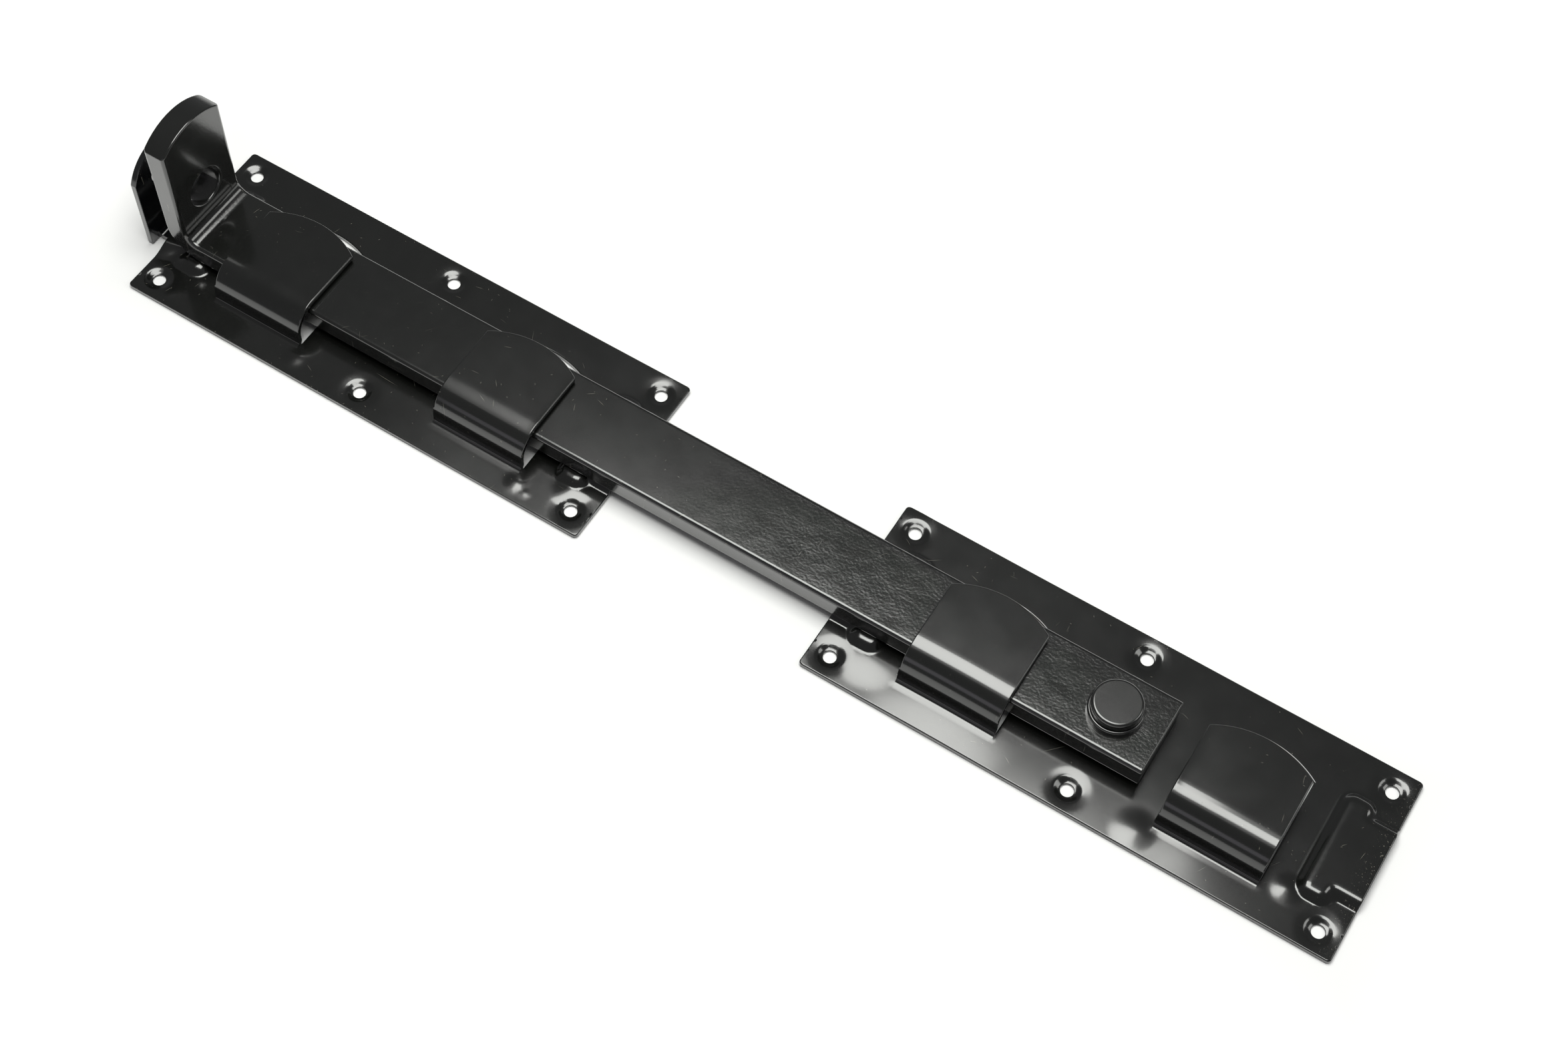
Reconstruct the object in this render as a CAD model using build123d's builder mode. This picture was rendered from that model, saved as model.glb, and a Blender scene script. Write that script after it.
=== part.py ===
"""Padbolt for a gate: a flat bar with an upturned end lies in hooks pressed out of two plates.

The plates lie on the fixing surface, z = 0, with their length along X. The origin is the middle
of the left plate's back. The hooks are open on the +Y side, where the bar lifts out of them.
"""
from build123d import *
from math import atan, cos, degrees, radians, sin
import os

os.makedirs("parts", exist_ok=True)

# Plates: both are the same pressing, in 2 mm sheet
plate_length = 204.0
plate_width = 76.0
plate_gap = 93.0
sheet = 2.0
plate_corner = 1.5
edge_roll = 0.7

# Screw holes, three along each long edge, each at the bottom of a pressed dimple
hole_end_margin = 8.0
hole_edge_margin = 8.4
hole_diameter = 4.8
dimple_diameter = 10.2
dimple_angle = 134.0
dimple_edge_radius = 2.0

# Bar, rolled flat with rounded edges, one end bent up into a lug
bar_width = 32.0
bar_thickness = 9.5
bar_edge_radius = 1.6
bar_end_edge = 0.6
bar_y = -1.0
bar_overrun = 19.5
bar_bend_radius = 5.0
bar_lug_inset = 14.0
bar_lug_height = 62.6
bar_lug_crown = 5.8
bar_seat_gap = 0.1

# Padlock holes, through both lugs
padlock_hole = 16.0
padlock_hole_height = 31.3
padlock_hole_edge = 0.8

# Hooks, lanced from the plates and folded over the bar
hook_width = 39.0
hook_end_margin = 51.8
hook_headroom = 1.0
hook_side_room = 6.2
hook_curl_radius = 9.6
hook_root_radius = 2.0
hook_tip_overhang = 1.0
hook_tip_crown = 5.8
hook_edge = 0.5
hook_lap = 1.5
hook_draw = 1.6

# Loose lug: its T-shaped foot is trapped under the raised end of a plate
lug_sheet = 2.5
lug_width = 33.0
lug_crown_height = 45.6
lug_crown = 11.1
lug_standoff = 5.0
lug_bend_radius = 2.0
lug_corner_height = 1.0
lug_edge = 0.4
foot_neck_width = 24.4
foot_neck_length = 12.6
foot_edge_margin = 20.8
foot_bar_width = 5.4
foot_height_gap = 0.1
foot_side_gap = 1.2
foot_end_gap = 0.4
foot_corner = 1.2

# Raised T at both ends of each plate
raise_wall_angle = 32.0
raise_edge_radius = 1.0

# Knob, turned, with a shank riveted through the bar
knob_from_bar_end = 18.3
knob_collar_diameter = 20.0
knob_collar_height = 2.4
knob_collar_edge = 0.8
knob_groove_diameter = 17.4
knob_groove_height = 0.9
knob_cap_diameter = 18.4
knob_cap_height = 3.3
knob_cap_edge = 1.2
knob_shank_diameter = 8.0
knob_shank_gap = 0.05
knob_rivet_diameter = 11.0
knob_rivet_depth = 1.5

# Levels above the fixing surface
raise_height = lug_sheet + foot_height_gap
bar_bottom = sheet + raise_height + bar_seat_gap
bar_top = bar_bottom + bar_thickness
hook_under = bar_top + hook_headroom
hook_top = hook_under + sheet

# Places along and across the padbolt
plate_half = plate_length / 2
hole_pitch = plate_half - hole_end_margin
hole_row_spacing = plate_width - 2 * hole_edge_margin
hook_pitch = plate_length - 2 * hook_end_margin
foot_bar_length = plate_width - 2 * foot_edge_margin
left_plate_x = 0.0
right_plate_x = plate_length + plate_gap
bar_near_y = bar_y - bar_width / 2
bar_far_y = bar_y + bar_width / 2
bar_end_x = right_plate_x + bar_overrun
bar_lug_face_x = -plate_half + bar_lug_inset
bar_lug_top = bar_bottom + bar_lug_height
lug_face_x = -plate_half - lug_standoff
knob_x = bar_end_x - knob_from_bar_end

# Hook section, along the middle of its sheet
hook_wall_y = bar_near_y - hook_side_room - sheet / 2
hook_tip_y = bar_far_y + hook_tip_overhang
hook_root_y = hook_wall_y - hook_root_radius - sheet / 2
hook_mid_z = hook_top - sheet / 2


def tongue_sketch(width, base, crown, sag):
    """Draws a tongue that runs along Y from base to crown, with straight sides and an arched end."""
    shoulder = crown - sag
    with BuildSketch() as tongue:
        with BuildLine():
            Polyline((-width / 2, shoulder), (-width / 2, base), (width / 2, base), (width / 2, shoulder))
            ThreePointArc((width / 2, shoulder), (0, crown), (-width / 2, shoulder))
        make_face()
    return tongue.sketch


def rims(part, radius):
    """Finds a part's round edges of this radius."""
    return part.edges().filter_by(GeomType.CIRCLE).filter_by(lambda edge: abs(edge.radius - radius) < 0.01)


def foot_sketch(level, end_room, side_room, beyond):
    """Draws the T of a foot at a plate's right end, with room round it and a neck that runs out past the end."""
    neck_middle = plate_half + (beyond - foot_neck_length) / 2
    bar_middle = plate_half - foot_neck_length - foot_bar_width / 2
    with BuildSketch(Plane.XY.offset(level)) as foot:
        with Locations((bar_middle, 0)):
            RectangleRounded(foot_bar_width + 2 * end_room, foot_bar_length + 2 * side_room, foot_corner + end_room)
        with Locations((neck_middle - end_room, 0)):
            Rectangle(foot_neck_length + beyond + 2 * end_room, foot_neck_width + 2 * side_room)
    return foot.sketch


# One hook, with its tip arched in plan
with BuildPart() as hook:
    with BuildSketch(Plane.YZ):
        with BuildLine() as hook_mid_line:
            FilletPolyline(
                (hook_root_y - hook_lap, sheet / 2),
                (hook_wall_y, sheet / 2),
                (hook_wall_y, hook_mid_z),
                (hook_tip_y, hook_mid_z),
                radius=[hook_root_radius + sheet / 2, hook_curl_radius + sheet / 2],
            )
            hook_blank = hook_mid_line.wire().length - hook_lap
            offset(amount=sheet / 2, side=Side.BOTH, closed=True)
        make_face()
    extrude(amount=hook_width / 2, both=True)
    add(tongue_sketch(hook_width, hook_root_y - hook_lap, hook_tip_y, hook_tip_crown))
    extrude(amount=hook_top + sheet, mode=Mode.INTERSECT)
    hook_side_edges = hook.faces().filter_by(Axis.X).edges()
    fillet(hook_side_edges.filter_by_position(Axis.Y, hook_root_y, hook_tip_y), radius=hook_edge)

# One plate about its own middle: sheet, raised ends, windows, hooks and dimpled holes
window_tip_y = hook_root_y + hook_blank - hook_draw
roof_wall = sheet * (1 - sin(radians(raise_wall_angle))) / cos(radians(raise_wall_angle))

with BuildPart() as raised_end:
    add(foot_sketch(sheet + raise_height, foot_end_gap + roof_wall, foot_side_gap + roof_wall, sheet))
    extrude(amount=-raise_height - sheet / 2, taper=-raise_wall_angle)
    raised_roof = raised_end.faces().sort_by(Axis.Z)[-1]
    fillet(raised_roof.edges(), radius=raise_edge_radius)
    with BuildSketch(Plane.XY.offset(sheet / 2)):
        with Locations((plate_half, 0)):
            Rectangle(plate_length, plate_width, align=(Align.MIN, Align.CENTER))
    extrude(amount=sheet + raise_height, mode=Mode.SUBTRACT)

with BuildPart() as foot_recess:
    add(foot_sketch(raise_height, foot_end_gap, foot_side_gap, sheet))
    extrude(amount=-raise_height, taper=-raise_wall_angle)

with BuildPart() as plate:
    with BuildSketch():
        RectangleRounded(plate_length, plate_width, plate_corner)
    extrude(amount=sheet)
    fillet(plate.faces().sort_by(Axis.Z)[-1].edges(), radius=edge_roll)
    add(raised_end.part)
    add(mirror(raised_end.part, about=Plane.YZ, mode=Mode.PRIVATE))
    add(foot_recess.part, mode=Mode.SUBTRACT)
    add(mirror(foot_recess.part, about=Plane.YZ, mode=Mode.PRIVATE), mode=Mode.SUBTRACT)
    with BuildSketch():
        with Locations((-hook_pitch / 2, 0), (hook_pitch / 2, 0)):
            add(tongue_sketch(hook_width, hook_root_y, window_tip_y, hook_tip_crown))
    extrude(amount=sheet, mode=Mode.SUBTRACT)
    with Locations((-hook_pitch / 2, 0), (hook_pitch / 2, 0)):
        add(hook.part)
    with Locations(Plane.XY.offset(sheet)):
        with GridLocations(hole_pitch, hole_row_spacing, 3, 2):
            CounterSinkHole(hole_diameter / 2, dimple_diameter / 2, counter_sink_angle=dimple_angle)
    fillet(rims(plate, dimple_diameter / 2), radius=dimple_edge_radius)

with BuildPart() as left_plate:
    with Locations((left_plate_x, 0)):
        add(plate.part)

with BuildPart() as right_plate:
    with Locations((right_plate_x, 0)):
        add(plate.part)

# Bar: its section follows the bend, then its end is cut square and its lug arched and drilled
bar_mid_z = bar_bottom + bar_thickness / 2
bar_lug_mid_x = bar_lug_face_x - bar_thickness / 2
bar_end_plane = Plane(origin=(bar_end_x, bar_y, 0), x_dir=(0, 1, 0), z_dir=(1, 0, 0))

with BuildPart() as bolt_bar:
    with BuildSketch(Plane.XZ.offset(-bar_y)):
        with BuildLine():
            FilletPolyline(
                (bar_end_x, bar_mid_z),
                (bar_lug_mid_x, bar_mid_z),
                (bar_lug_mid_x, bar_lug_top),
                radius=bar_bend_radius + bar_thickness / 2,
            )
            offset(amount=bar_thickness / 2, side=Side.BOTH, closed=True)
        make_face()
    extrude(amount=bar_width / 2, both=True)
    fillet(bolt_bar.faces().filter_by(Axis.Y).edges(), radius=bar_edge_radius)
    with BuildSketch(bar_end_plane):
        add(tongue_sketch(bar_width, 0, bar_lug_top, bar_lug_crown))
    extrude(amount=-(bar_end_x - bar_lug_mid_x + bar_thickness), mode=Mode.INTERSECT)
    fillet(bolt_bar.faces().sort_by(Axis.X)[-1].edges(), radius=bar_end_edge)
    bar_crown = bolt_bar.faces().sort_by(Axis.Z)[-1]
    fillet(bar_crown.edges().filter_by(GeomType.CIRCLE), radius=bar_end_edge)
    with BuildSketch(Plane.YZ.offset(bar_lug_face_x)):
        with Locations((bar_y, padlock_hole_height)):
            Circle(padlock_hole / 2)
    extrude(amount=-bar_thickness, mode=Mode.SUBTRACT)
    fillet(rims(bolt_bar, padlock_hole / 2), radius=padlock_hole_edge)
    with Locations(Plane((knob_x, bar_y, bar_bottom), z_dir=(0, 0, -1))):
        rivet_angle = 2 * degrees(atan((knob_rivet_diameter - knob_shank_diameter) / 2 / knob_rivet_depth))
        CounterSinkHole(
            knob_shank_diameter / 2 + knob_shank_gap,
            knob_rivet_diameter / 2 + knob_shank_gap,
            counter_sink_angle=rivet_angle,
        )

# Knob, turned about its own axis, with its shank's end spread into the bar's underside
knob_cap_bottom = knob_collar_height + knob_groove_height
with BuildPart() as knob:
    with BuildSketch(Plane((knob_x, bar_y, bar_top), x_dir=(1, 0, 0), z_dir=(0, -1, 0))):
        with BuildLine():
            Polyline(
                (0, -bar_thickness),
                (knob_rivet_diameter / 2, -bar_thickness),
                (knob_shank_diameter / 2, -bar_thickness + knob_rivet_depth),
                (knob_shank_diameter / 2, 0),
                (knob_collar_diameter / 2, 0),
                (knob_collar_diameter / 2, knob_collar_height),
                (knob_groove_diameter / 2, knob_collar_height),
                (knob_groove_diameter / 2, knob_cap_bottom),
                (knob_cap_diameter / 2, knob_cap_bottom),
                (knob_cap_diameter / 2, knob_cap_bottom + knob_cap_height),
                (0, knob_cap_bottom + knob_cap_height),
                close=True,
            )
        make_face()
    revolve(axis=Axis((knob_x, bar_y, 0), (0, 0, 1)))
    fillet(rims(knob, knob_cap_diameter / 2).sort_by(Axis.Z)[-1], radius=knob_cap_edge)
    fillet(rims(knob, knob_collar_diameter / 2).sort_by(Axis.Z)[-1], radius=knob_collar_edge)

# Loose lug: the T foot lies under the plate, its neck bends up and carries the wider arched lug
lug_mid_x = lug_face_x - lug_sheet / 2
lug_shoulder = lug_crown_height - lug_crown

with BuildPart() as lug_blade:
    with BuildSketch(Plane(origin=(lug_face_x, bar_y, 0), x_dir=(0, 1, 0), z_dir=(1, 0, 0))):
        add(tongue_sketch(lug_width, lug_corner_height, lug_crown_height, lug_crown))
    extrude(amount=-lug_sheet)
    lug_rim = lug_blade.faces().filter_by(Axis.X).edges().sort_by(Axis.Z)[2:]
    fillet(lug_rim, radius=lug_edge)

with BuildPart() as padlock_lug:
    with Locations((0, bar_y)):
        add(mirror(foot_sketch(0, 0, 0, lug_standoff - lug_bend_radius), about=Plane.YZ, mode=Mode.PRIVATE))
    extrude(amount=lug_sheet)
    with BuildSketch(Plane.XZ.offset(-bar_y)):
        with BuildLine():
            FilletPolyline(
                (-plate_half + lug_sheet, lug_sheet / 2),
                (lug_mid_x, lug_sheet / 2),
                (lug_mid_x, lug_shoulder),
                radius=lug_bend_radius + lug_sheet / 2,
            )
            offset(amount=lug_sheet / 2, side=Side.BOTH, closed=True)
        make_face()
    extrude(amount=foot_neck_width / 2, both=True)
    add(lug_blade.part)
    with BuildSketch(Plane.YZ.offset(lug_face_x)):
        with Locations((bar_y, padlock_hole_height)):
            Circle(padlock_hole / 2)
    extrude(amount=-lug_sheet, mode=Mode.SUBTRACT)

for name, piece in (
    ("left_plate", left_plate),
    ("right_plate", right_plate),
    ("bolt_bar", bolt_bar),
    ("knob", knob),
    ("padlock_lug", padlock_lug),
):
    piece.part.label = name
    export_step(piece.part, f"parts/{name}.step")
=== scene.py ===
"""Dresses the padbolt in black stove enamel and lights it as it was photographed.

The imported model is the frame: the bar, the knob and the loose lug keep its shapes. Both plates are pressed
again here from a flat blank, because the photograph shows how soft their pressing is: dimples draw the sheet
down round each screw hole, tongues are lanced and folded into hooks, and the sheet is a little wavy.
"""

import logging
from dataclasses import dataclass, field
from enum import Enum, auto
from math import ceil, cos, hypot, pi, radians, sin, sqrt

import bmesh
import bpy
from mathutils import Matrix, Vector
from mathutils.geometry import delaunay_2d_cdt


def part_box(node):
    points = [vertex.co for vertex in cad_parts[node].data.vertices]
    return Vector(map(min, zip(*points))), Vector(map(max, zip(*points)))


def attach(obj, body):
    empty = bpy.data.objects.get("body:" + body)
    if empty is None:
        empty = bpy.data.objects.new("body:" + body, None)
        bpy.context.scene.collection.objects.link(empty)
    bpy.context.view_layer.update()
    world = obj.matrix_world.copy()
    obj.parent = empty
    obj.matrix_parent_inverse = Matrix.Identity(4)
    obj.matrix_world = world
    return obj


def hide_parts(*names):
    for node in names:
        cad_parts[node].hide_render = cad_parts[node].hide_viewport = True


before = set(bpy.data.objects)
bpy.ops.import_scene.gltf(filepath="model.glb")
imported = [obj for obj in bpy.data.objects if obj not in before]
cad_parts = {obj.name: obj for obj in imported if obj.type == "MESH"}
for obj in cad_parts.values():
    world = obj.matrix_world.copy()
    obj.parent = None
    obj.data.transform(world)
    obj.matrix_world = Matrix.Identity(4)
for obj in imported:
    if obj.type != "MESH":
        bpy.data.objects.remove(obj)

MM = 0.001
# In millimetres: blank points nearer than the first are one, and a triangle may overstep a cut by the second.
SAME_PLACE = 1e-5
EDGE_SLACK = 0.02
LOG = logging.getLogger("padbolt")

Point = tuple[float, float]
Socket = bpy.types.NodeSocket


def linear(code: str) -> tuple[float, float, float, float]:
    """Turns an sRGB hex colour into linear RGBA.

    Args:
        code: Six hex digits after a hash.

    Returns:
        The colour that a shader socket takes.
    """
    channels = [int(code[i:i + 2], 16) / 255 for i in (1, 3, 5)]
    return (*[c / 12.92 if c <= 0.04045 else ((c + 0.055) / 1.055) ** 2.4 for c in channels], 1.0)


def add_node(tree: bpy.types.NodeTree, kind: str, inputs: dict[str | int, object] | None = None,
             **settings: object) -> bpy.types.Node:
    """Adds a node with its settings and links.

    Args:
        tree: The material, world or geometry tree.
        kind: The node's type name.
        inputs: Socket name or index to a value, or to the output socket that feeds it.
        settings: Properties of the node.

    Returns:
        The new node.
    """
    node = tree.nodes.new(kind)
    for name, value in settings.items():
        setattr(node, name, value)
    for key, value in (inputs or {}).items():
        socket = node.inputs[key]
        if isinstance(value, Socket):
            tree.links.new(value, socket)
        else:
            socket.default_value = value
    return node


def ease(share: float) -> float:
    """Eases a share from 0 to 1, flat at both ends."""
    share = min(max(share, 0.0), 1.0)
    return share * share * (3 - 2 * share)


def box_distance(x: float, y: float, half_x: float, half_y: float, corner: float) -> float:
    """Gives the signed distance from a point to a rounded rectangle about the origin.

    Args:
        x: The point's x.
        y: The point's y.
        half_x: Half the rectangle's length.
        half_y: Half its width.
        corner: Radius of its corners.

    Returns:
        The distance, negative inside.
    """
    out_x = abs(x) - half_x + corner
    out_y = abs(y) - half_y + corner
    return hypot(max(out_x, 0.0), max(out_y, 0.0)) + min(max(out_x, out_y), 0.0) - corner


@dataclass(frozen=True)
class Scratches:
    """Scratches of one size, each turned its own way, at most one in a cell.

    Attributes:
        cell_mm: Mean distance between places where a scratch may be.
        length_mm: Length of a scratch.
        width_mm: Its width.
        share: Share of the cells that have one, where a finish shows all its scratches.
    """

    cell_mm: float
    length_mm: float
    width_mm: float
    share: float


@dataclass(frozen=True)
class StoveEnamel:
    """Black stove enamel, dipped and baked: a hard resin film, semi-gloss, with a faint orange peel.

    The resin gives soft, creamy reflections over a near-black. Dust nibs stand in the film, handling leaves
    hairline scratches in patches, and the film is chipped along sheared edges and at a worn end. On a rolled
    bar it follows the steel's coarser skin. A run is the distance over which one look turns to another.

    Attributes:
        name: The material's name.
        colour: Its colour, sRGB hex.
        cloud: The colour it drifts to, sRGB hex.
        cloud_mm: Width of one drift.
        mark: The pale colour of nibs, scratches and chips, sRGB hex.
        mark_strength: How far a mark hides the film.
        roughness: The film's own roughness.
        smear_mm: Width of one smear.
        smear: What smears take from the roughness, and what they add to it.
        gloss: Share of the smooth skin on top.
        skin_roughness: That skin's roughness.
        ior: The resin's refractive index.
        peel_mm: Width of one bump of the orange peel.
        peel_height_mm: Its height.
        coarse_from_mm: Where along X the film turns coarser, or None where it doesn't.
        coarse_run_mm: The run from there.
        coarse_below_mm: Where it turns coarser again, towards the bent end.
        bend_run_mm: The run from there.
        bend_share: How coarse it gets at the bend, where 1 is as coarse as at the other end.
        swell_mm: Width and height of the steel's swells.
        lump_mm: Width and height of its lumps.
        nib_mm: Mean distance between places where a dust nib may be.
        nib_radius: A nib's radius, as a share of that distance.
        nib_chance: The chance above which such a place has one.
        scratches: Share of the scratches that show, from 0 to 1.
        scratch_sizes: The sizes of scratch.
        wobble_mm: Distance over which a scratch bends.
        patch_mm: Width of one rubbed patch.
        patch: The noise at which a patch begins, and at which it is full.
        patch_least: Share of the marks that shows between patches.
        chipped_y_mm: Half the width of the sheet whose edges are chipped, or None.
        chipped_edge_mm: How far chips reach in from such an edge.
        chipped_end_mm: Where along X its worn end is.
        worn_mm: How far chips reach back from that end.
        chip_mm: Width of one chip.
        chip: The noise at which a chip begins, and at which it is full.
    """

    name: str
    colour: str = "#0f100f"
    cloud: str = "#151614"
    cloud_mm: float = 38.0
    mark: str = "#a39f92"
    mark_strength: float = 0.5
    roughness: float = 0.165
    smear_mm: float = 9.0
    smear: tuple[float, float] = (0.015, 0.02)
    gloss: float = 1.0
    skin_roughness: float = 0.11
    ior: float = 1.55
    peel_mm: float = 1.3
    peel_height_mm: float = 0.003
    coarse_from_mm: float | None = None
    coarse_run_mm: float = 110.0
    coarse_below_mm: float = -70.0
    bend_run_mm: float = 12.0
    bend_share: float = 0.5
    swell_mm: tuple[float, float] = (9.0, 0.13)
    lump_mm: tuple[float, float] = (1.1, 0.05)
    nib_mm: float = 2.6
    nib_radius: float = 0.055
    nib_chance: float = 0.72
    scratches: float = 0.6
    scratch_sizes: tuple[Scratches, ...] = (
        Scratches(21.0, 10.0, 0.12, 0.22), Scratches(8.0, 3.6, 0.14, 0.22), Scratches(3.4, 0.9, 0.18, 0.12))
    wobble_mm: float = 4.0
    patch_mm: float = 42.0
    patch: tuple[float, float] = (0.44, 0.58)
    patch_least: float = 0.12
    chipped_y_mm: float | None = None
    chipped_edge_mm: float = 0.9
    chipped_end_mm: float = 0.0
    worn_mm: float = 8.0
    chip_mm: float = 0.7
    chip: tuple[float, float] = (0.66, 0.72)

    def build(self) -> bpy.types.Material:
        """Makes the material.

        Returns:
            The finished material.
        """
        material = bpy.data.materials.new(self.name)
        material.use_nodes = True
        tree = material.node_tree
        tree.nodes.clear()
        place = add_node(tree, "ShaderNodeTexCoord").outputs["Object"]
        tone = add_node(tree, "ShaderNodeTexNoise", {
            "Vector": place, "Scale": 1 / (self.cloud_mm * MM), "Detail": 3.0})
        film = add_node(tree, "ShaderNodeMix", {
            0: tone.outputs[0], 6: linear(self.colour), 7: linear(self.cloud)}, data_type="RGBA")
        colour = add_node(tree, "ShaderNodeMix", {
            0: self._marks(tree, place), 6: film.outputs[2], 7: linear(self.mark)}, data_type="RGBA")
        smears = add_node(tree, "ShaderNodeTexNoise", {
            "Vector": place, "Scale": 1 / (self.smear_mm * MM), "Detail": 4.0})
        smoother, rougher = self.smear
        rough = add_node(tree, "ShaderNodeMapRange", {
            "Value": smears.outputs[0], "From Min": 0.3, "From Max": 0.7,
            "To Min": self.roughness - smoother, "To Max": self.roughness + rougher})
        surface = add_node(tree, "ShaderNodeBsdfPrincipled", {
            "Base Color": colour.outputs[2], "Roughness": rough.outputs[0], "IOR": self.ior,
            "Coat Weight": self.gloss, "Coat Roughness": self.skin_roughness,
            "Normal": self._peel(tree, place)})
        add_node(tree, "ShaderNodeOutputMaterial", {"Surface": surface.outputs[0]})
        return material

    def _peel(self, tree: bpy.types.NodeTree, place: Socket) -> Socket:
        """Adds the orange peel and, on a rolled bar, the coarser skin past coarse_from_mm and round the bend.

        Args:
            tree: The material's tree.
            place: Object coordinates.

        Returns:
            The bumped normal.
        """
        peel = add_node(tree, "ShaderNodeTexNoise", {
            "Vector": place, "Scale": 1 / (self.peel_mm * MM), "Detail": 1.5})
        normal = add_node(tree, "ShaderNodeBump", {
            "Height": peel.outputs[0], "Distance": self.peel_height_mm * MM}).outputs[0]
        if self.coarse_from_mm is None:
            return normal
        along = add_node(tree, "ShaderNodeSeparateXYZ", {0: place}).outputs["X"]
        start = self.coarse_from_mm * MM
        bend = self.coarse_below_mm * MM
        at_far_end = add_node(tree, "ShaderNodeMapRange", {
            "Value": along, "From Min": start, "From Max": start + self.coarse_run_mm * MM},
            interpolation_type="SMOOTHSTEP")
        at_bend = add_node(tree, "ShaderNodeMapRange", {
            "Value": along, "From Min": bend, "From Max": bend - self.bend_run_mm * MM,
            "To Max": self.bend_share}, interpolation_type="SMOOTHSTEP")
        coarse = add_node(tree, "ShaderNodeMath", {0: at_far_end.outputs[0], 1: at_bend.outputs[0]},
                          operation="MAXIMUM")
        for (width, height), detail in ((self.swell_mm, 1.0), (self.lump_mm, 1.5)):
            skin = add_node(tree, "ShaderNodeTexNoise", {
                "Vector": place, "Scale": 1 / (width * MM), "Detail": detail})
            normal = add_node(tree, "ShaderNodeBump", {
                "Height": skin.outputs[0], "Distance": height * MM, "Strength": coarse.outputs[0],
                "Normal": normal}).outputs[0]
        return normal

    def _scratch(self, tree: bpy.types.NodeTree, place: Socket, size: Scratches) -> Socket:
        """Adds sparse scratches of one size.

        Args:
            tree: The material's tree.
            place: Object coordinates.
            size: The scratches' size and number.

        Returns:
            How strongly a scratch shows at each point.
        """
        length = size.length_mm * MM
        width = size.width_mm * MM
        cells = add_node(tree, "ShaderNodeTexVoronoi", {"Vector": place, "Scale": 1 / (size.cell_mm * MM)})
        chance = add_node(tree, "ShaderNodeSeparateColor", {0: cells.outputs["Color"]})
        wobble = add_node(tree, "ShaderNodeTexNoise", {
            "Vector": place, "Scale": 1 / (self.wobble_mm * MM), "Detail": 1.0})
        bent = add_node(tree, "ShaderNodeVectorMath", {0: wobble.outputs["Color"], 1: (width,) * 3},
                        operation="MULTIPLY")
        local = add_node(tree, "ShaderNodeVectorMath", {0: place, 1: cells.outputs["Position"]},
                         operation="SUBTRACT")
        moved = add_node(tree, "ShaderNodeVectorMath", {0: local.outputs[0], 1: bent.outputs[0]})
        angle = add_node(tree, "ShaderNodeMath", {0: chance.outputs[0], 1: 2 * pi}, operation="MULTIPLY")
        turned = add_node(tree, "ShaderNodeVectorRotate", {
            "Vector": moved.outputs[0], "Angle": angle.outputs[0]}, rotation_type="Z_AXIS")
        axes = add_node(tree, "ShaderNodeSeparateXYZ", {0: turned.outputs[0]})
        off = add_node(tree, "ShaderNodeMath", {0: axes.outputs[0]}, operation="ABSOLUTE")
        along = add_node(tree, "ShaderNodeMath", {0: axes.outputs[1]}, operation="ABSOLUTE")
        thin = add_node(tree, "ShaderNodeMapRange", {
            "Value": off.outputs[0], "From Min": width / 2, "From Max": width / 6})
        fade = add_node(tree, "ShaderNodeMapRange", {
            "Value": along.outputs[0], "From Min": length / 2, "From Max": length / 6})
        line = add_node(tree, "ShaderNodeMath", {0: thin.outputs[0], 1: fade.outputs[0]},
                        operation="MULTIPLY")
        chosen = add_node(tree, "ShaderNodeMath", {0: chance.outputs[1], 1: size.share * self.scratches},
                          operation="LESS_THAN")
        return add_node(tree, "ShaderNodeMath", {0: line.outputs[0], 1: chosen.outputs[0]},
                        operation="MULTIPLY").outputs[0]

    def _chips(self, tree: bpy.types.NodeTree, place: Socket) -> Socket:
        """Adds chips along the sheet's long edges and at its worn end.

        Args:
            tree: The material's tree.
            place: Object coordinates.

        Returns:
            Where the film is chipped off.
        """
        axes = add_node(tree, "ShaderNodeSeparateXYZ", {0: place})
        across = add_node(tree, "ShaderNodeMath", {0: axes.outputs["Y"]}, operation="ABSOLUTE")
        edge = add_node(tree, "ShaderNodeMapRange", {
            "Value": across.outputs[0], "From Min": (self.chipped_y_mm - self.chipped_edge_mm) * MM,
            "From Max": self.chipped_y_mm * MM})
        end = add_node(tree, "ShaderNodeMapRange", {
            "Value": axes.outputs["X"], "From Min": (self.chipped_end_mm - self.worn_mm) * MM,
            "From Max": self.chipped_end_mm * MM})
        rim = add_node(tree, "ShaderNodeMath", {0: edge.outputs[0], 1: end.outputs[0]}, operation="MAXIMUM")
        grit = add_node(tree, "ShaderNodeTexNoise", {
            "Vector": place, "Scale": 1 / (self.chip_mm * MM), "Detail": 2.0})
        begins, full = self.chip
        flake = add_node(tree, "ShaderNodeMapRange", {
            "Value": grit.outputs[0], "From Min": begins, "From Max": full})
        return add_node(tree, "ShaderNodeMath", {0: flake.outputs[0], 1: rim.outputs[0]},
                        operation="MULTIPLY").outputs[0]

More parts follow.
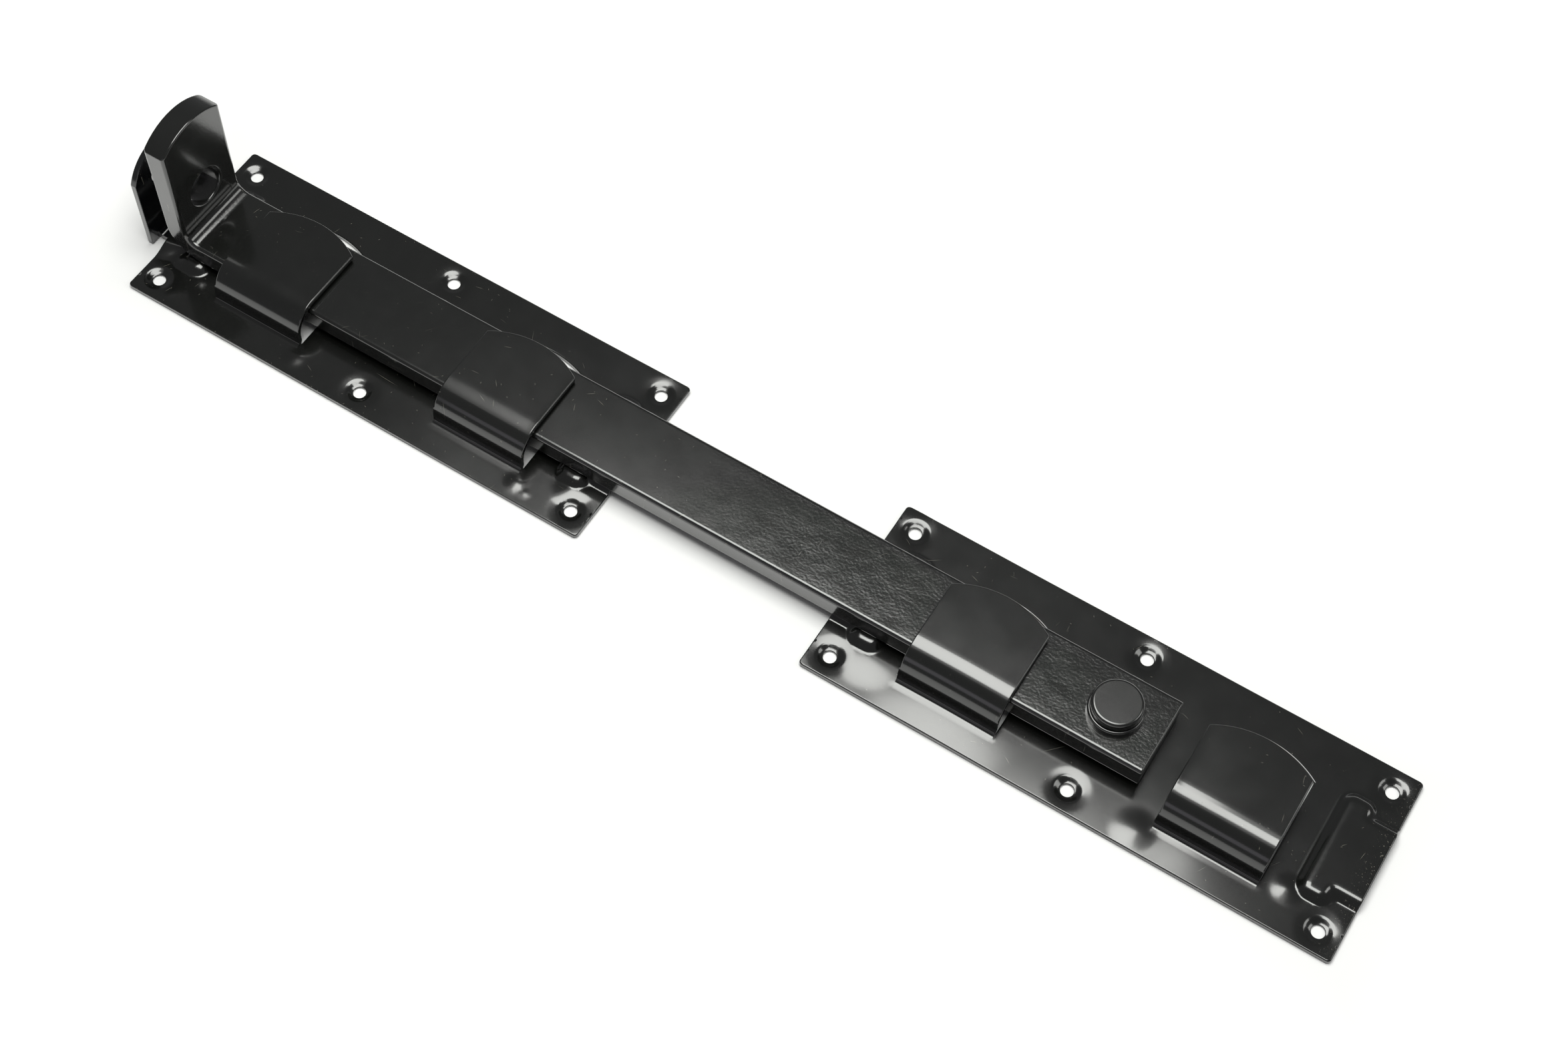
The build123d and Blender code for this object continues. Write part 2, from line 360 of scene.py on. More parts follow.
    def _marks(self, tree: bpy.types.NodeTree, place: Socket) -> Socket:
        """Adds dust nibs and hairline scratches, thick in patches, and chips, as one mask.

        Args:
            tree: The material's tree.
            place: Object coordinates.

        Returns:
            How much of the pale mark shows at each point.
        """
        nibs = add_node(tree, "ShaderNodeTexVoronoi", {"Vector": place, "Scale": 1 / (self.nib_mm * MM)})
        near = add_node(tree, "ShaderNodeMath", {0: nibs.outputs["Distance"], 1: self.nib_radius},
                        operation="LESS_THAN")
        pick = add_node(tree, "ShaderNodeSeparateColor", {0: nibs.outputs["Color"]})
        some = add_node(tree, "ShaderNodeMath", {0: pick.outputs[0], 1: self.nib_chance},
                        operation="GREATER_THAN")
        total = add_node(tree, "ShaderNodeMath", {0: near.outputs[0], 1: some.outputs[0]},
                         operation="MULTIPLY").outputs[0]
        for size in self.scratch_sizes:
            line = self._scratch(tree, place, size)
            total = add_node(tree, "ShaderNodeMath", {0: total, 1: line}, operation="MAXIMUM").outputs[0]
        rubbed = add_node(tree, "ShaderNodeTexNoise", {
            "Vector": place, "Scale": 1 / (self.patch_mm * MM), "Detail": 2.0})
        begins, full = self.patch
        patch = add_node(tree, "ShaderNodeMapRange", {
            "Value": rubbed.outputs[0], "From Min": begins, "From Max": full, "To Min": self.patch_least})
        total = add_node(tree, "ShaderNodeMath", {0: total, 1: patch.outputs[0]},
                         operation="MULTIPLY").outputs[0]
        if self.chipped_y_mm is not None:
            total = add_node(tree, "ShaderNodeMath", {0: total, 1: self._chips(tree, place)},
                             operation="MAXIMUM").outputs[0]
        return add_node(tree, "ShaderNodeMath", {0: total, 1: self.mark_strength},
                        operation="MULTIPLY").outputs[0]


@dataclass(frozen=True)
class Dent:
    """A place where the sheet was knocked or drawn up, in millimetres about the plate's middle.

    Attributes:
        x: Its middle along the plate.
        y: Its middle across it.
        rise: Height of the bulge.
        spread: Radius to where it fades.
    """

    x: float
    y: float
    rise: float
    spread: float

    def lift(self, x: float, y: float) -> float:
        """Gives the dent's height at a point of the plate."""
        return self.rise * ease(1 - hypot(x - self.x, y - self.y) / self.spread)


class Zone(Enum):
    """The parts of the sheet that a grid of points can cover."""

    GENTLE = auto()
    STEEP = auto()


@dataclass
class PressedPlate:
    """One plate, pressed from a flat blank as the real one is. Sizes are in millimetres.

    Attributes:
        node: The CAD node that it replaces.
        dents: Where its sheet was knocked or drawn up.
        end_toe: Run of the T's foot at the left end and at the right end.
        sheet: Thickness.
        corner: Radius of the corners.
        corner_steps: Facets in a corner.
        edge: Rounding of sheared edges.
        sharp_angle: Degrees past which an edge counts as sheared.
        tear_radius: Round a tongue's root corner, where the torn edge stays sharp.
        rim_share: Share of the rounding at a hole's thin rim.
        rim_reach: How far outside the hole its rim reaches.
        step: Mesh step where the sheet is gentle.
        fine_step: Mesh step where it is steep.
        row_pitch: From one staggered row to the next, in steps.
        edge_room: Room left along an edge, in steps.
        hole_radius: Radius of a screw hole.
        hole_end_margin: From the plate's end to a corner hole's middle.
        hole_edge_margin: From its long edge to a hole's middle.
        rim_steps: Facets round a hole.
        ring_count: Rings of mesh points round it.
        ring_gap: From ring to ring.
        ring_room: From the last ring to the grid.
        dimple_depth: Depth of the dimple.
        dimple_radius: Where it ends.
        draw_depth: How far the sheet round it is drawn down.
        draw_radius: Where that ends.
        face_level: Height between the sheet's pressed face and its back.
        tongue_half: Half a tongue's width.
        tongue_end_margin: From the plate's end to its middle.
        tongue_root: Where across the plate it begins.
        tongue_arch: Bulge of its arched end.
        tongue_step: Between the lines along it.
        tip_run: From its straight rows to its arch.
        window_tip: Where across the plate its window ends.
        root_radius: Middle radius of the bend at its root.
        root_rows: Mesh rows round that bend.
        curl_radius: Middle radius of its curl.
        curl_rows: Mesh rows round the curl.
        wall_rise: Straight wall between both bends.
        top_run: Length of its flat top.
        top_rows: Mesh rows along the top.
        tip_rows: Mesh rows that follow the arch.
        raise_height: Height of the raised T.
        t_bar: Middle, half length and half width of its bar.
        t_neck_half: Half its neck's width.
        t_neck_lap: How far the neck reaches past the bar's round corner.
        t_neck_past: How far it runs past the plate's end.
        t_neck_corner: Radius of the neck's corners.
        t_corner: Radius of the bar's corners.
        t_blend: Softness where both meet.
        foot_inset: How far inside the T its slope begins.
        foot_run: Run of the slope, away from the ends.
        toe_run: Length over which it turns to end_toe.
        steep_inset: How far inside the T the mesh is fine.
        wave_height: Height of each of two slight waves.
        wave_runs: Run of the first along the plate, and of the second along and across it.
        wave_start: Where the second starts, in radians.
        middle: The plate's middle along X.
        half_length: Half its length.
        half_width: Half its width.
    """

    node: str
    dents: tuple[Dent, ...] = ()
    end_toe: tuple[float, float] = (4.4, 4.4)
    sheet: float = 2.0
    corner: float = 1.5
    corner_steps: int = 4
    edge: float = 0.55
    sharp_angle: float = 52.0
    tear_radius: float = 2.7
    rim_share: float = 0.45
    rim_reach: float = 0.2
    step: float = 1.6
    fine_step: float = 0.85
    row_pitch: float = 0.866
    edge_room: float = 0.55
    hole_radius: float = 2.4
    hole_end_margin: float = 8.0
    hole_edge_margin: float = 8.4
    rim_steps: int = 30
    ring_count: int = 9
    ring_gap: float = 0.68
    ring_room: float = 0.08
    dimple_depth: float = 0.95
    dimple_radius: float = 5.4
    draw_depth: float = 0.3
    draw_radius: float = 9.0
    face_level: float = 1.2
    tongue_half: float = 19.5
    tongue_end_margin: float = 51.8
    tongue_root: float = -27.2
    tongue_arch: float = 5.8
    tongue_step: float = 1.3
    tip_run: float = 6.0
    window_tip: float = 23.7
    root_radius: float = 3.0
    root_rows: int = 6
    curl_radius: float = 10.6
    curl_rows: int = 20
    wall_rise: float = 1.6
    top_run: float = 29.6
    top_rows: int = 12
    tip_rows: int = 8
    raise_height: float = 2.6
    t_bar: tuple[float, float, float] = (86.7, 4.2, 19.5)
    t_neck_half: float = 14.5
    t_neck_lap: float = 1.0
    t_neck_past: float = 20.0
    t_neck_corner: float = 0.5
    t_corner: float = 2.7
    t_blend: float = 2.4
    foot_inset: float = 1.4
    foot_run: float = 4.4
    toe_run: float = 14.0
    steep_inset: float = 2.0
    wave_height: float = 0.06
    wave_runs: tuple[float, float, float] = (13.0, 31.0, 19.0)
    wave_start: float = 1.1
    middle: float = field(init=False)
    half_length: float = field(init=False)
    half_width: float = field(init=False)

    def __post_init__(self) -> None:
        """Takes the plate's length, width and place from the frame."""
        low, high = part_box(self.node)
        self.middle = (low.x + high.x) / 2 / MM
        self.half_length = (high.x - low.x) / 2 / MM
        self.half_width = (high.y - low.y) / 2 / MM

    def holes(self) -> list[Point]:
        """Gives the middles of the six screw holes.

        Returns:
            Their middles, the far right one last.
        """
        along = self.half_length - self.hole_end_margin
        across = self.half_width - self.hole_edge_margin
        return [(i * along, j * across) for j in (-1, 1) for i in (-1, 0, 1)]

    def tongues(self) -> tuple[float, float]:
        """Gives the middle of each tongue along the plate."""
        return (self.tongue_end_margin - self.half_length, self.half_length - self.tongue_end_margin)

    def columns(self, middle: float) -> list[float]:
        """Gives the lines along which a tongue bends, from its left side to its right."""
        count = ceil(2 * self.tongue_half / self.tongue_step)
        return [middle + self.tongue_half * (2 * i / count - 1) for i in range(count + 1)]

    def arch(self, off: float, peak: float) -> float:
        """Gives the height of an arched end, off from its middle, where its peak is at peak."""
        radius = (self.tongue_half ** 2 + self.tongue_arch ** 2) / 2 / self.tongue_arch
        return peak - radius + sqrt(max(radius ** 2 - off ** 2, 0.0))

    def t_distance(self, x: float, y: float) -> float:
        """Gives the signed distance from a point to the raised T at its end of the plate.

        Args:
            x: Distance along the plate from its middle.
            y: Distance across it.

        Returns:
            The distance, negative inside.
        """
        bar_x, bar_half, bar_side = self.t_bar
        neck_from = bar_x + bar_half - self.t_corner - self.t_neck_lap
        neck_half = (self.half_length + self.t_neck_past - neck_from) / 2
        bar = box_distance(abs(x) - bar_x, y, bar_half, bar_side, self.t_corner)
        neck = box_distance(abs(x) - neck_from - neck_half, y, neck_half, self.t_neck_half, self.t_neck_corner)
        mix = min(max(0.5 + 0.5 * (neck - bar) / self.t_blend, 0.0), 1.0)
        return neck + (bar - neck) * mix - self.t_blend * mix * (1 - mix)

    def lift(self, x: float, y: float) -> float:
        """Gives how far the sheet is pressed up at a point: the raised T, the dents and a slight wave.

        Args:
            x: Distance along the plate from its middle.
            y: Distance across it.

        Returns:
            The height above a flat sheet.
        """
        toe = self.end_toe[0 if x < 0 else 1]
        near_end = ease((abs(x) - self.half_length + self.toe_run) / self.toe_run)
        run = self.foot_run + (toe - self.foot_run) * near_end
        rise = self.raise_height * (1 - ease((self.t_distance(x, y) + self.foot_inset) / run))
        first, along, across = self.wave_runs
        height = self.wave_height
        wave = (2 * height + height * sin(x / first + self.middle)
                + height * sin(x / along - y / across + self.wave_start))
        return max(rise, 0.0) + sum(dent.lift(x, y) for dent in self.dents) + wave

    def fold(self, run: float) -> Point:
        """Gives where a point of the tongue goes when it is folded into the hook.

        Args:
            run: Distance from the tongue's root along the sheet's middle.

        Returns:
            Its y and z on the sheet's middle surface.
        """
        root_arc = self.root_radius * pi / 2
        curl_arc = self.curl_radius * pi / 2
        middle = self.sheet / 2
        if run < root_arc:
            turn = run / self.root_radius
            rise = self.root_radius * (1 - cos(turn))
            return (self.tongue_root + self.root_radius * sin(turn), middle + rise)
        wall_y = self.tongue_root + self.root_radius
        wall_z = middle + self.root_radius
        if run < root_arc + self.wall_rise:
            return (wall_y, wall_z + run - root_arc)
        curl = run - root_arc - self.wall_rise
        base = wall_z + self.wall_rise
        if curl < curl_arc:
            turn = curl / self.curl_radius
            return (wall_y + self.curl_radius * (1 - cos(turn)), base + self.curl_radius * sin(turn))
        return (wall_y + self.curl_radius + curl - curl_arc, base + self.curl_radius)

    def blank_length(self) -> float:
        """Gives the tongue's length before it is folded."""
        return (self.root_radius + self.curl_radius) * pi / 2 + self.wall_rise + self.top_run

    def tongue_rows(self) -> list[float]:
        """Places the straight rows of the tongue's mesh.

        Returns:
            Their distances from the root.
        """
        root_arc = self.root_radius * pi / 2
        curl_start = root_arc + self.wall_rise
        curl_end = curl_start + self.curl_radius * pi / 2
        straight = self.blank_length() - self.tongue_arch - self.tip_run
        rows = [root_arc * i / self.root_rows for i in range(self.root_rows)]
        rows += [root_arc, root_arc + self.wall_rise / 2]
        rows += [curl_start + (curl_end - curl_start) * i / self.curl_rows for i in range(self.curl_rows)]
        rows += [curl_end + (straight - curl_end) * i / self.top_rows for i in range(self.top_rows + 1)]
        return rows

    def outline(self) -> list[Point]:
        """Draws the blank's outline, with round corners.

        Returns:
            Its points, anticlockwise.
        """
        loop: list[Point] = []
        inner_x = self.half_length - self.corner
        inner_y = self.half_width - self.corner
        quarters = (((1, -1), (0, 1)), ((1, 1), (-1, 0)), ((-1, 1), (0, -1)), ((-1, -1), (1, 0)))
        for quarter, ((sx, sy), (along_x, along_y)) in enumerate(quarters):
            for i in range(self.corner_steps + 1):
                turn = radians(quarter * 90 - 90 + i * 90 / self.corner_steps)
                loop.append((sx * inner_x + self.corner * cos(turn), sy * inner_y + self.corner * sin(turn)))
            side = 2 * (inner_x if along_x else inner_y)
            count = round(side / (self.step if along_x else self.fine_step))
            x, y = loop[-1]
            loop += [(x + along_x * side * i / count, y + along_y * side * i / count)
                     for i in range(1, count)]
        return loop

    def window(self, middle: float) -> list[Point]:
        """Draws the window that a tongue leaves.

        Args:
            middle: The tongue's middle along the plate.

        Returns:
            The window's outline, anticlockwise from the root.
        """
        columns = self.columns(middle)
        shoulder = self.window_tip - self.tongue_arch
        rows = ceil((shoulder - self.tongue_root) / self.step)
        side = [self.tongue_root + (shoulder - self.tongue_root) * i / rows for i in range(1, rows)]
        loop = [(x, self.tongue_root) for x in columns]
        loop += [(middle + self.tongue_half, y) for y in side]
        loop += [(x, self.arch(x - middle, self.window_tip)) for x in reversed(columns)]
        loop += [(middle - self.tongue_half, y) for y in reversed(side)]
        return loop

    def cut_away(self, x: float, y: float, room: float) -> bool:
        """Says whether a point is off the sheet, or nearer than room to one of its edges.

        Args:
            x: Distance along the plate from its middle.
            y: Distance across it.
            room: How near it may be.

        Returns:
            True where it is off or too near.
        """
        if abs(x) > self.half_length - room or abs(y) > self.half_width - room:
            return True
        if any(hypot(x - hx, y - hy) < self.hole_radius + room for hx, hy in self.holes()):
            return True
        return any(abs(x - mid) < self.tongue_half + room and y > self.tongue_root - room
                   and y < self.arch(min(abs(x - mid), self.tongue_half), self.window_tip) + room
                   for mid in self.tongues())

    def grid(self, step: float, zone: Zone) -> list[Point]:
        """Gives staggered points over one part of the sheet, outside the rings round its holes.

        Args:
            step: Distance between points.
            zone: The part to cover.

        Returns:
            The points.
        """
        points: list[Point] = []
        lines = ceil(self.half_width / step / self.row_pitch)
        places = ceil(self.half_length / step)
        reach = self.hole_radius + self.ring_gap * self.ring_count + self.ring_room
        for j in range(-lines, lines + 1):
            y = j * step * self.row_pitch
            for i in range(-places, places + 1):
                x = (i + 0.5 * (j % 2)) * step
                if self.cut_away(x, y, self.edge_room * step):
                    continue
                if any(hypot(x - hx, y - hy) < reach for hx, hy in self.holes()):
                    continue
                steep = -self.steep_inset < self.t_distance(x, y) < self.foot_run
                if steep == (zone is Zone.STEEP):
                    points.append((x, y))
        return points

    def rings(self) -> list[Point]:
        """Gives rings of points round each hole, so that its dimple is smooth.

        Returns:
            The points.
        """
        points: list[Point] = []
        for hx, hy in self.holes():
            for k in range(1, self.ring_count + 1):
                radius = self.hole_radius + self.ring_gap * k
                count = self.rim_steps + 2 * k
                for i in range(count):
                    turn = 2 * pi * (i + 0.5 * (k % 2)) / count
                    x, y = hx + radius * cos(turn), hy + radius * sin(turn)
                    if not self.cut_away(x, y, 0.5 * self.fine_step):
                        points.append((x, y))
        return points

    def flat_sheet(self) -> tuple[list[Point], list[tuple[int, ...]]]:
        """Divides the blank, less its holes and windows, into triangles.

        Returns:
            The points and the triangles.
        """
        points: list[Point] = []
        edges: list[tuple[int, int]] = []
        turns = [2 * pi * i / self.rim_steps for i in range(self.rim_steps)]
        rims = [[(hx + self.hole_radius * cos(turn), hy + self.hole_radius * sin(turn)) for turn in turns]
                for hx, hy in self.holes()]
        for loop in [self.outline()] + [self.window(mid) for mid in self.tongues()] + rims:
            first = len(points)
            points += loop
            edges += [(first + i, first + (i + 1) % len(loop)) for i in range(len(loop))]
        points += self.rings()
        points += self.grid(self.step, Zone.GENTLE) + self.grid(self.fine_step, Zone.STEEP)
        found = delaunay_2d_cdt([Vector(p) for p in points], edges, [], 0, SAME_PLACE)
        places = [(p.x, p.y) for p in found[0]]
        kept = []
        for triangle in found[2]:
            x = sum(places[i][0] for i in triangle) / 3
            y = sum(places[i][1] for i in triangle) / 3
            if not self.cut_away(x, y, -EDGE_SLACK):
                kept.append(tuple(triangle))
        return places, kept

    def middle_surface(self) -> bmesh.types.BMesh:
        """Forms the sheet's middle surface: presses the blank and folds its tongues up.

        Returns:
            The open mesh, in millimetres about the plate's middle.
        """
        form = bmesh.new()
        places, triangles = self.flat_sheet()
        verts = [form.verts.new((x, y, self.sheet / 2 + self.lift(x, y))) for x, y in places]
        for triangle in triangles:
            form.faces.new([verts[i] for i in triangle])
        at = {(round(x, 3), round(y, 3)): vert for (x, y), vert in zip(places, verts)}
        length = self.blank_length()
        for mid in self.tongues():
            rows = self.tongue_rows()
            columns = self.columns(mid)
            last = [at[(round(x, 3), round(self.tongue_root, 3))] for x in columns]
            tips = [self.arch(x - mid, length) for x in columns]
            runs = [[run] * len(columns) for run in rows[1:]]
            runs += [[rows[-1] + (tip - rows[-1]) * i / self.tip_rows for tip in tips]
                     for i in range(1, self.tip_rows + 1)]
            for line in runs:
                new = []
                for x, run in zip(columns, line):
                    y, z = self.fold(run)
                    new.append(form.verts.new((x, y, z + self.lift(x, self.tongue_root))))
                for i in range(len(columns) - 1):
                    form.faces.new((last[i], last[i + 1], new[i + 1], new[i]))
                last = new
        form.normal_update()
        return form

    def build(self, finish: bpy.types.Material) -> bpy.types.Object:
        """Makes the plate and puts it in the frame.

        Args:
            finish: Its material.

        Returns:
            The finished plate.
        """
        form = self.middle_surface()
        shell = bmesh.new()
        top, back = [], []
        for vert in form.verts:
            vert.index = len(top)
            out = vert.normal * self.sheet / 2
            place = vert.co + Vector((self.middle, 0, 0))
            top.append(shell.verts.new((place + out) * MM))
            back.append(shell.verts.new((place - out) * MM))
        for face in form.faces:
            ids = [vert.index for vert in face.verts]
            shell.faces.new([top[i] for i in ids])
            shell.faces.new([back[i] for i in reversed(ids)])
        for edge in form.edges:
            if edge.is_boundary:
                first = edge.link_loops[0]
                a, b = first.vert.index, first.link_loop_next.vert.index
                shell.faces.new((top[b], top[a], back[a], back[b]))
        form.free()
        mesh = bpy.data.meshes.new(self.node + "_pressed")
        shell.to_mesh(mesh)
        shell.free()
        plate = bpy.data.objects.new(self.node + "_pressed", mesh)
        bpy.context.scene.collection.objects.link(plate)
        mesh.materials.append(finish)
        plate = self.press_dimples(plate, finish)
        self.mark_sheared_edges(plate.data)
        plate.data.shade_smooth()
        bevel = plate.modifiers.new("sheared_edges", "BEVEL")
        bevel.width = self.edge * MM
        bevel.segments = 3
        bevel.limit_method = "WEIGHT"
        bevel.use_clamp_overlap = False
        bevel.harden_normals = True
        return plate

    def mark_sheared_edges(self, mesh: bpy.types.Mesh) -> None:
        """Marks how far each sharp edge is rounded: less at a hole's thin rim, and not at all at a tear.

        Args:
            mesh: The pressed plate's mesh.
        """
        tears = [Vector((self.middle + mid + side * self.tongue_half, self.tongue_root)) * MM
                 for mid in self.tongues() for side in (-1, 1)]
        rims = [Vector((self.middle + x, y)) * MM for x, y in self.holes()]
        reach = (self.hole_radius + self.rim_reach) * MM
        form = bmesh.new()
        form.from_mesh(mesh)
        weight = form.edges.layers.float.new("bevel_weight_edge")
        for edge in form.edges:
            if edge.calc_face_angle(0.0) < radians(self.sharp_angle):
                continue
            places = [vert.co.xy for vert in edge.verts]
            if any((place - tear).length < self.tear_radius * MM for place in places for tear in tears):
                edge.smooth = False
                continue
            thin = any((places[0] - rim).length < reach for rim in rims)
            edge[weight] = self.rim_share if thin else 1.0
        form.to_mesh(mesh)
        form.free()

    def dimple_tree(self) -> bpy.types.NodeTree:
        """Builds the tool that presses a dimple down round every screw hole.

        Returns:
            The geometry tree, with named inputs for its sizes.
        """
        tree = bpy.data.node_groups.new("dimple_press_" + self.node, "GeometryNodeTree")
        face = tree.interface
        face.new_socket("Geometry", in_out="INPUT", socket_type="NodeSocketGeometry")
        for name in ("Middle X", "Length Between", "Width Between", "Hole Radius", "Dimple Radius",
                     "Dimple Depth", "Draw Radius", "Draw Depth", "Face Level"):
            face.new_socket(name, in_out="INPUT", socket_type="NodeSocketFloat")
        face.new_socket("Finish", in_out="INPUT", socket_type="NodeSocketMaterial")
        face.new_socket("Geometry", in_out="OUTPUT", socket_type="NodeSocketGeometry")
        given = add_node(tree, "NodeGroupInput").outputs
        shift = add_node(tree, "ShaderNodeCombineXYZ", {0: given["Middle X"]})
        pins = add_node(tree, "GeometryNodeMeshGrid", {
            "Size X": given["Length Between"], "Size Y": given["Width Between"],
            "Vertices X": 3, "Vertices Y": 2})
        set_out = add_node(tree, "GeometryNodeTransform", {
            "Geometry": pins.outputs[0], "Translation": shift.outputs[0]})
        place = add_node(tree, "GeometryNodeInputPosition").outputs[0]
        flat = add_node(tree, "ShaderNodeVectorMath", {0: place, 1: (1, 1, 0)}, operation="MULTIPLY")
        near = add_node(tree, "GeometryNodeProximity", {
            "Target": set_out.outputs[0], "Source Position": flat.outputs[0]}, target_element="POINTS")
        dimple, draw = (add_node(tree, "ShaderNodeMapRange", {
            "Value": near.outputs["Distance"], "From Min": given["Hole Radius"],
            "From Max": given[name + " Radius"], "To Min": given[name + " Depth"], "To Max": 0.0},
            interpolation_type="SMOOTHSTEP") for name in ("Dimple", "Draw"))
        drop = add_node(tree, "ShaderNodeMath", {0: dimple.outputs[0], 1: draw.outputs[0]})
        down = add_node(tree, "ShaderNodeMath", {0: drop.outputs[0], 1: -1.0}, operation="MULTIPLY")
        move = add_node(tree, "ShaderNodeCombineXYZ", {2: down.outputs[0]})
        level = add_node(tree, "ShaderNodeSeparateXYZ", {0: place})
        outer = add_node(tree, "FunctionNodeCompare", {0: level.outputs[2], 1: given["Face Level"]},
                         data_type="FLOAT", operation="GREATER_THAN")
        pressed = add_node(tree, "GeometryNodeSetPosition", {
            "Geometry": given["Geometry"], "Selection": outer.outputs[0], "Offset": move.outputs[0]})
        real = add_node(tree, "GeometryNodeRealizeInstances", {0: pressed.outputs[0]})
        coat = add_node(tree, "GeometryNodeSetMaterial", {0: real.outputs[0], "Material": given["Finish"]})
        add_node(tree, "NodeGroupOutput", {0: coat.outputs[0]})
        return tree

    def press_dimples(self, plate: bpy.types.Object, finish: bpy.types.Material) -> bpy.types.Object:
        """Presses the dimples and leaves a plain mesh.

        Args:
            plate: The flat-holed plate.
            finish: Its material.

        Returns:
            The same object, with the pressed mesh.
        """
        press = plate.modifiers.new("dimple_press", "NODES")
        press.node_group = self.dimple_tree()
        hx, hy = self.holes()[-1]
        sizes = {"Middle X": self.middle * MM, "Length Between": 2 * hx * MM, "Width Between": 2 * hy * MM,
                 "Hole Radius": self.hole_radius * MM, "Dimple Radius": self.dimple_radius * MM,
                 "Dimple Depth": self.dimple_depth * MM, "Draw Radius": self.draw_radius * MM,
                 "Draw Depth": self.draw_depth * MM, "Face Level": self.face_level * MM, "Finish": finish}
        for item in press.node_group.interface.items_tree:
            if item.name in sizes:
                press[item.identifier] = sizes[item.name]
        shaped = plate.evaluated_get(bpy.context.evaluated_depsgraph_get())
        mesh = bpy.data.meshes.new_from_object(shaped)
        plate.modifiers.remove(press)
        plate.data = mesh
        return plate


@dataclass(frozen=True)
class PhotoCamera:
    """The camera at the photograph's viewing angle. Angles in degrees, lengths in metres.

    Attributes:
        azimuth: Turn from the front towards the right.
        elevation: Height above the horizon.
        roll: Turn about the line of sight.
        distance: From the target.
        target: Where the image's middle lies.
        lens: Focal length in millimetres on a 36 mm sensor.
    """

    azimuth: float = 28.634
    elevation: float = 59.128
    roll: float = 3.68
    distance: float = 0.86474
    target: tuple[float, float, float] = (0.16086, 0.00817, 0.0)
    lens: float = 55.19

    def place(self) -> bpy.types.Object:
        """Makes the camera and points it.

        Returns:
            The camera object.
        """
        a, e, r = radians(self.azimuth), radians(self.elevation), radians(self.roll)
        back = Vector((sin(a) * cos(e), -cos(a) * cos(e), sin(e)))
        level = Vector((cos(a), sin(a), 0))
        right = level * cos(r) + back.cross(level) * sin(r)
        turn = Matrix((right, back.cross(right), back)).transposed()
        lens = bpy.data.cameras.new("photo_camera")
        lens.lens = self.lens
        lens.clip_end = 20
        camera = bpy.data.objects.new("photo_camera", lens)
        camera.matrix_world = Matrix.Translation(Vector(self.target) + back * self.distance) @ turn.to_4x4()
        bpy.context.scene.collection.objects.link(camera)
        bpy.context.scene.camera = camera
        return camera


@dataclass(frozen=True)
class SoftBox:
    """A lamp behind a white cloth, aimed at the padbolt. Lengths in metres.

    Attributes:
        name: The lamp's name.
        place: Where its middle is.
        size: Its two sides.
        radiance: How bright its cloth is, where 1 is a lit white sheet.
        colour: The light's colour, sRGB hex.
    """

    name: str
    place: tuple[float, float, float]
    size: tuple[float, float]
    radiance: float
    colour: str = "#fefffb"

    def hang(self, target: Vector) -> bpy.types.Object:
        """Makes the lamp and aims it.

        Args:
            target: What it lights.

        Returns:
            The lamp object.
        """
        lamp = bpy.data.lights.new(self.name, "AREA")
        lamp.shape = "RECTANGLE"
        lamp.size, lamp.size_y = self.size
        lamp.color = linear(self.colour)[:3]
        lamp.energy = self.radiance * pi * self.size[0] * self.size[1]
        box = bpy.data.objects.new(self.name, lamp)
        back = (Vector(self.place) - target).normalized()
        side = (Vector((1, 0, 0)) - back * back.x).normalized()
        turn = Matrix((side, back.cross(side), back)).transposed()
        box.matrix_world = Matrix.Translation(self.place) @ turn.to_4x4()
        bpy.context.scene.collection.objects.link(box)
        return box


